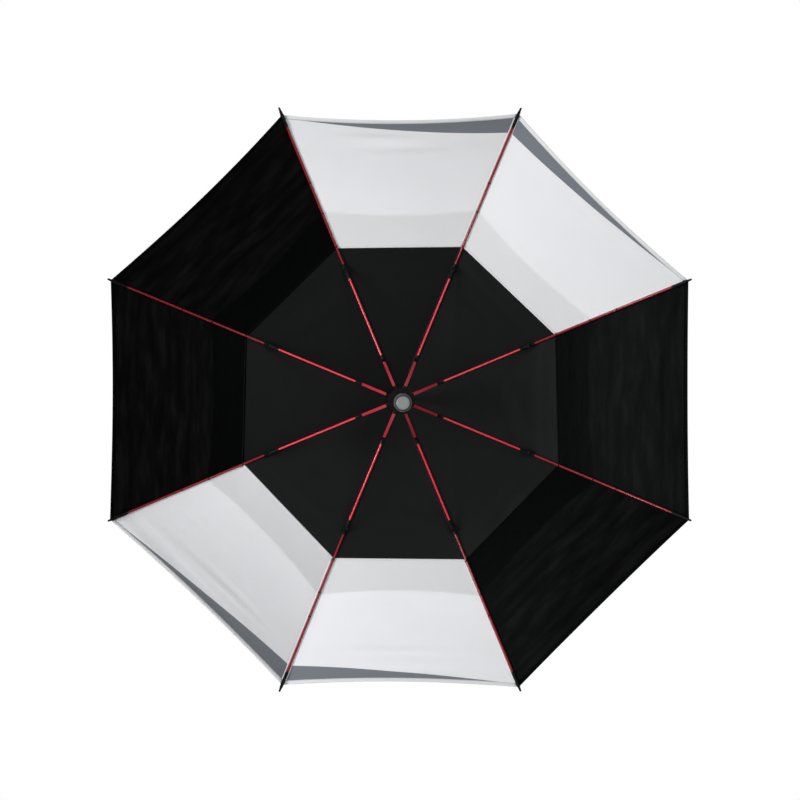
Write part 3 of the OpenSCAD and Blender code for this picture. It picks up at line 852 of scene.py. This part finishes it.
    def build(self, name, materials):
        mesh = bpy.data.meshes.new(name)
        mesh.from_pydata(self.points, [], self.faces)
        set_materials(mesh, materials)
        mesh.polygons.foreach_set("material_index", self.slots)
        for key, values in self.attributes.items():
            is_vector = isinstance(values[0], Vector)
            kind, field = ("FLOAT_VECTOR", "vector") if is_vector else ("FLOAT", "value")
            attribute = mesh.attributes.new(key, kind, "POINT")
            attribute.data.foreach_set(field, np.array(values, np.float32).ravel())
        shade_smooth(mesh)
        mesh.validate()
        gore = put_object(name, mesh)

        fold = gore.modifiers.new("fold", "NODES")
        fold.node_group = FOLD_GROUP
        bodies = frame["bodies"]
        following = self.j % RIBS + 1
        inputs = {
            "RibA": bodies[f"rib_{self.j}"],
            "RibB": bodies[f"rib_{following}"],
            "EndA": bodies[f"rib_end_{self.j}"],
            "EndB": bodies[f"rib_end_{following}"],
            "Runner": bodies["runner"],
            "Phi": rib_angle(self.j),
        }
        for item in FOLD_GROUP.interface.items_tree:
            if item.name in inputs:
                fold[item.identifier] = inputs[item.name]
        thickness = gore.modifiers.new("thickness", "SOLIDIFY")
        thickness.thickness = CLOTH
        thickness.offset = 0.0
        thickness.use_even_offset = False
        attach(gore, "root")
        return gore


def lower_gore(j):
    gore = Gore(j, lower=True, seed=100 + j)
    gore.patch(gore.inner, gore.outer, SHEET_ROWS)
    gore.hem(HEM_STRIP)
    gore.patch(lambda t: gore.inner(t) + HEM_GAP, lambda t: gore.inner(t) + VENT_STRIP,
               2, HEM_LIFT)
    gore.seams(lambda t: gore.inner(t) + SEAM_MARGIN, lambda t: gore.outer(t) - 0.0115,
               LOWER_SEAM, slot=1)
    if j in WHITE:
        return gore.build(f"lower_gore_{j}", ["white_cloth", "white_seam"])
    return gore.build(f"lower_gore_{j}", ["black_cloth", "black_cloth"])


def upper_gore(j):
    gore = Gore(j, lower=False, seed=200 + j)
    gore.patch(gore.inner, gore.outer, SHEET_ROWS)
    gore.hem(FLAP_STRIP)
    gore.seams(lambda t: UPPER_SEAM_START, lambda t: gore.outer(t) - 0.011, UPPER_SEAM, slot=0)
    return gore.build(f"upper_gore_{j}", ["black_vent_cloth"])


lower_gores, upper_gores = {}, {}
for j in range(1, RIBS + 1):
    lower_gores[j] = lower_gore(j)
    upper_gores[j] = upper_gore(j)
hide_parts("lower_canopy_white")
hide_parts("lower_canopy_black")
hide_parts("upper_canopy")


# ---------------------------------------------------------------- springs
def tube(bm, points, radius, sides):
    """Capped tube along a line of points."""
    rings = []
    reference = Vector((0.123, 0.456, 0.88)).normalized()
    last = len(points) - 1
    for i, point in enumerate(points):
        along = (points[min(i + 1, last)] - points[max(i - 1, 0)]).normalized()
        u = along.cross(reference).normalized()
        v = along.cross(u).normalized()
        ring = []
        for q in range(sides):
            angle = 2 * PI * q / sides
            offset = u * radius * math.cos(angle) + v * radius * math.sin(angle)
            ring.append(bm.verts.new(point + offset))
        rings.append(ring)
    for a, b in zip(rings, rings[1:]):
        for q in range(sides):
            following = (q + 1) % sides
            bm.faces.new((a[q], a[following], b[following], b[q]))
    bm.faces.new(rings[0][::-1])
    bm.faces.new(rings[-1])


def smooth_mesh(name, bm):
    mesh = bpy.data.meshes.new(name)
    bm.to_mesh(mesh)
    bm.free()
    shade_smooth(mesh)
    return mesh


def put_spring(name, mesh, body, replaced):
    spring = put_object(name, mesh)
    set_materials(mesh, ["steel_wire"])
    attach(spring, body)
    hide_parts(replaced)
    return spring


COIL_R = 0.0114
WIRE_R = 0.0008
COIL_TURNS = 15
END_PITCH = 0.0017              # the first and last turns lie close
STEPS_PER_TURN = 28


def coil_points(bottom, top):
    points = []
    for i in range(COIL_TURNS * STEPS_PER_TURN + 1):
        turn = i / STEPS_PER_TURN
        if turn < 1:
            z = bottom + END_PITCH * turn
        elif turn > COIL_TURNS - 1:
            z = top - END_PITCH * (COIL_TURNS - turn)
        else:
            open_height = top - bottom - 2 * END_PITCH
            z = bottom + END_PITCH + open_height * (turn - 1) / (COIL_TURNS - 2)
        points.append(polar(COIL_R, 2 * PI * turn, z))
    return points


spring_lo, spring_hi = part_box("opening_spring")
bm = bmesh.new()
tube(bm, coil_points(spring_lo[2] + WIRE_R, spring_hi[2] - WIRE_R), WIRE_R, sides=10)
coil = put_spring("opening_coil", smooth_mesh("opening_coil", bm), "runner", "opening_spring")
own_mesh(coil)

leaf = put_spring("latch_leaf", NODES["latch_spring"].data.copy(), "root", "latch_spring")
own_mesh(leaf)


# ---------------------------------------------------------------- thread ties on the ribs
TIE_TURNS = 4
TIE_STEPS = 72
TIE_WIDTH = 0.0026
TIE_SIDES = 7
TIE_INSET = 0.004               # ties by a hem sit this far inside it
OUTER_TIE = arc_at(0.577)


def rib_frame(k, arc):
    """Point on the rib's centre line, with its along, sideways and outward directions."""
    angle = rib_angle(k)
    radius, z = profile(arc)
    slope = slope_at(arc)
    return (polar(radius, angle, z),
            polar(math.cos(slope), angle, -math.sin(slope)),
            Vector((-math.sin(angle), math.cos(angle), 0)),
            polar(math.sin(slope), angle, math.cos(slope)))


def tie(bm, k, arc, rnd):
    """Turns of thread round the rib, with two short tails and a knot under it."""
    winding = []
    for i in range(TIE_STEPS + 1):
        angle = 2 * PI * TIE_TURNS * i / TIE_STEPS + rnd.uniform(-0.02, 0.02)
        centre, _, side, out = rib_frame(k, arc + TIE_WIDTH * (i / TIE_STEPS - 0.5))
        direction = side * math.cos(angle) + out * math.sin(angle)
        winding.append(centre + direction * (RIB_ROD + 0.00042))
    tube(bm, winding, 0.00036, TIE_SIDES)
    centre, along, side, out = rib_frame(k, arc)
    start = centre - out * (RIB_ROD + 0.0007)
    for sign in (-1, 1):
        tail = [
            start + side * sign * 0.0003,
            start + side * sign * 0.0015 - out * 0.0007,
            start + side * sign * 0.0030 - out * (0.0016 + rnd.uniform(0, 0.0012))
            + along * rnd.uniform(-0.001, 0.001),
        ]
        tube(bm, tail, 0.00030, TIE_SIDES)
    knot = Matrix.Translation(centre - out * (RIB_ROD + 0.0008))
    bmesh.ops.create_icosphere(bm, subdivisions=2, radius=0.0009, matrix=knot)


for k in range(1, RIBS + 1):
    rnd = random.Random(500 + k)
    bm = bmesh.new()
    inner_tie = ARC_VENT + VENT_OUT[k] + TIE_INSET
    flap_tie = ARC_FLAP + VENT_OUT[k] - TIE_INSET
    for arc in (inner_tie, flap_tie, OUTER_TIE):
        tie(bm, k, arc + rnd.uniform(-0.002, 0.002), rnd)
    mesh = smooth_mesh(f"thread_ties_{k}", bm)
    set_materials(mesh, ["black_thread"])
    ties = put_object(f"thread_ties_{k}", mesh)
    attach(ties, f"rib_end_{k}")


# ---------------------------------------------------------------- floor and world
def floor_material(name):
    """Pale and faintly glowing to the camera from above; clear from below and to other rays."""
    graph = new_material(name)
    pale = graph.shader("BsdfDiffuse", {0: (0.62, 0.62, 0.62)})
    glow = graph.shader("Emission", {"Color": (1, 1, 1), "Strength": 0.46})
    seen = graph.shader("AddShader", {0: pale, 1: glow})
    clear = graph.shader("BsdfTransparent", {})
    backfacing = graph.node("ShaderNodeNewGeometry").outputs["Backfacing"]
    camera_ray = graph.node("ShaderNodeLightPath").outputs["Is Camera Ray"]
    share = graph.mul(graph.sub(1.0, backfacing), camera_ray)
    graph.finish("ShaderNodeOutputMaterial", graph.mix_shader(share, clear, seen))


bpy.ops.mesh.primitive_plane_add(size=90, location=(0, 0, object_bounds()[0].z - 0.0005))
floor = bpy.context.active_object
floor.name = "floor"
floor_material("floor_pale")
floor.data.materials.append(MATERIALS["floor_pale"])

# plain white to the camera; the light from it varies with direction as the product of x and z
world = bpy.data.worlds.new("studio")
bpy.context.scene.world = world
graph = clean_graph(world)
backdrop = graph.shader("Background", {"Color": (1, 1, 1), "Strength": 1.0})
x, _, z = graph.separate(graph.coordinates("Generated"))
grey = graph.fit(graph.mul(x, z), gain=-0.5, offset=0.80, clamp=True)
lighting = graph.shader("Background",
                        {"Color": graph.combine(grey, grey, grey), "Strength": 0.595})
camera_ray = graph.node("ShaderNodeLightPath").outputs["Is Camera Ray"]
graph.finish("ShaderNodeOutputWorld", graph.mix_shader(camera_ray, lighting, backdrop))

# ---------------------------------------------------------------- lights
LIGHT_TARGET = Vector((0, 0, 0.85))


def disk_light(name, location, size, power):
    data = bpy.data.lights.new(name, "AREA")
    data.shape = "DISK"
    data.size = size
    data.energy = power
    light = put_object(name, data)
    light.location = location
    aim = LIGHT_TARGET - Vector(location)
    light.rotation_euler = aim.to_track_quat("-Z", "Y").to_euler()


disk_light("key_low", location=(2.5, 0.05, -1.0), size=1.3, power=72)
disk_light("fill_low", location=(-1.5, 1.5, -2.2), size=1.8, power=26)
disk_light("top_soft", location=(0.9, -1.2, 3.6), size=2.6, power=40)
disk_light("side_soft", location=(-3.0, -2.2, 1.6), size=1.8, power=26)

# ---------------------------------------------------------------- camera, looking up from below
CAMERA_DISTANCE = 4.0           # below the rib tips
CAMERA_SHIFT = 0.0326           # off the shaft's axis in X and Y
VIEW_WIDTH = 1.90845204         # seen at the height of the rib tips
SENSOR_WIDTH = 36.0             # millimetres

camera_data = bpy.data.cameras.new("camera")
camera = put_object("camera", camera_data)
tip_z = profile(ARC_TIP)[1]
camera.location = (CAMERA_SHIFT, CAMERA_SHIFT, tip_z - CAMERA_DISTANCE)
look = (Vector((0, 0, tip_z)) - camera.location).normalized()
right = look.cross(Vector((0, 1, 0))).normalized()
up = right.cross(look).normalized()
camera.rotation_mode = "QUATERNION"
camera.rotation_quaternion = Matrix((right, up, -look)).transposed().to_quaternion()
camera_data.sensor_width = SENSOR_WIDTH
camera_data.lens = SENSOR_WIDTH * CAMERA_DISTANCE / VIEW_WIDTH
camera_data.clip_start = 0.05
camera_data.clip_end = 60

scene = bpy.context.scene
scene.camera = camera
scene.view_settings.view_transform = "Standard"
scene.view_settings.look = "None"
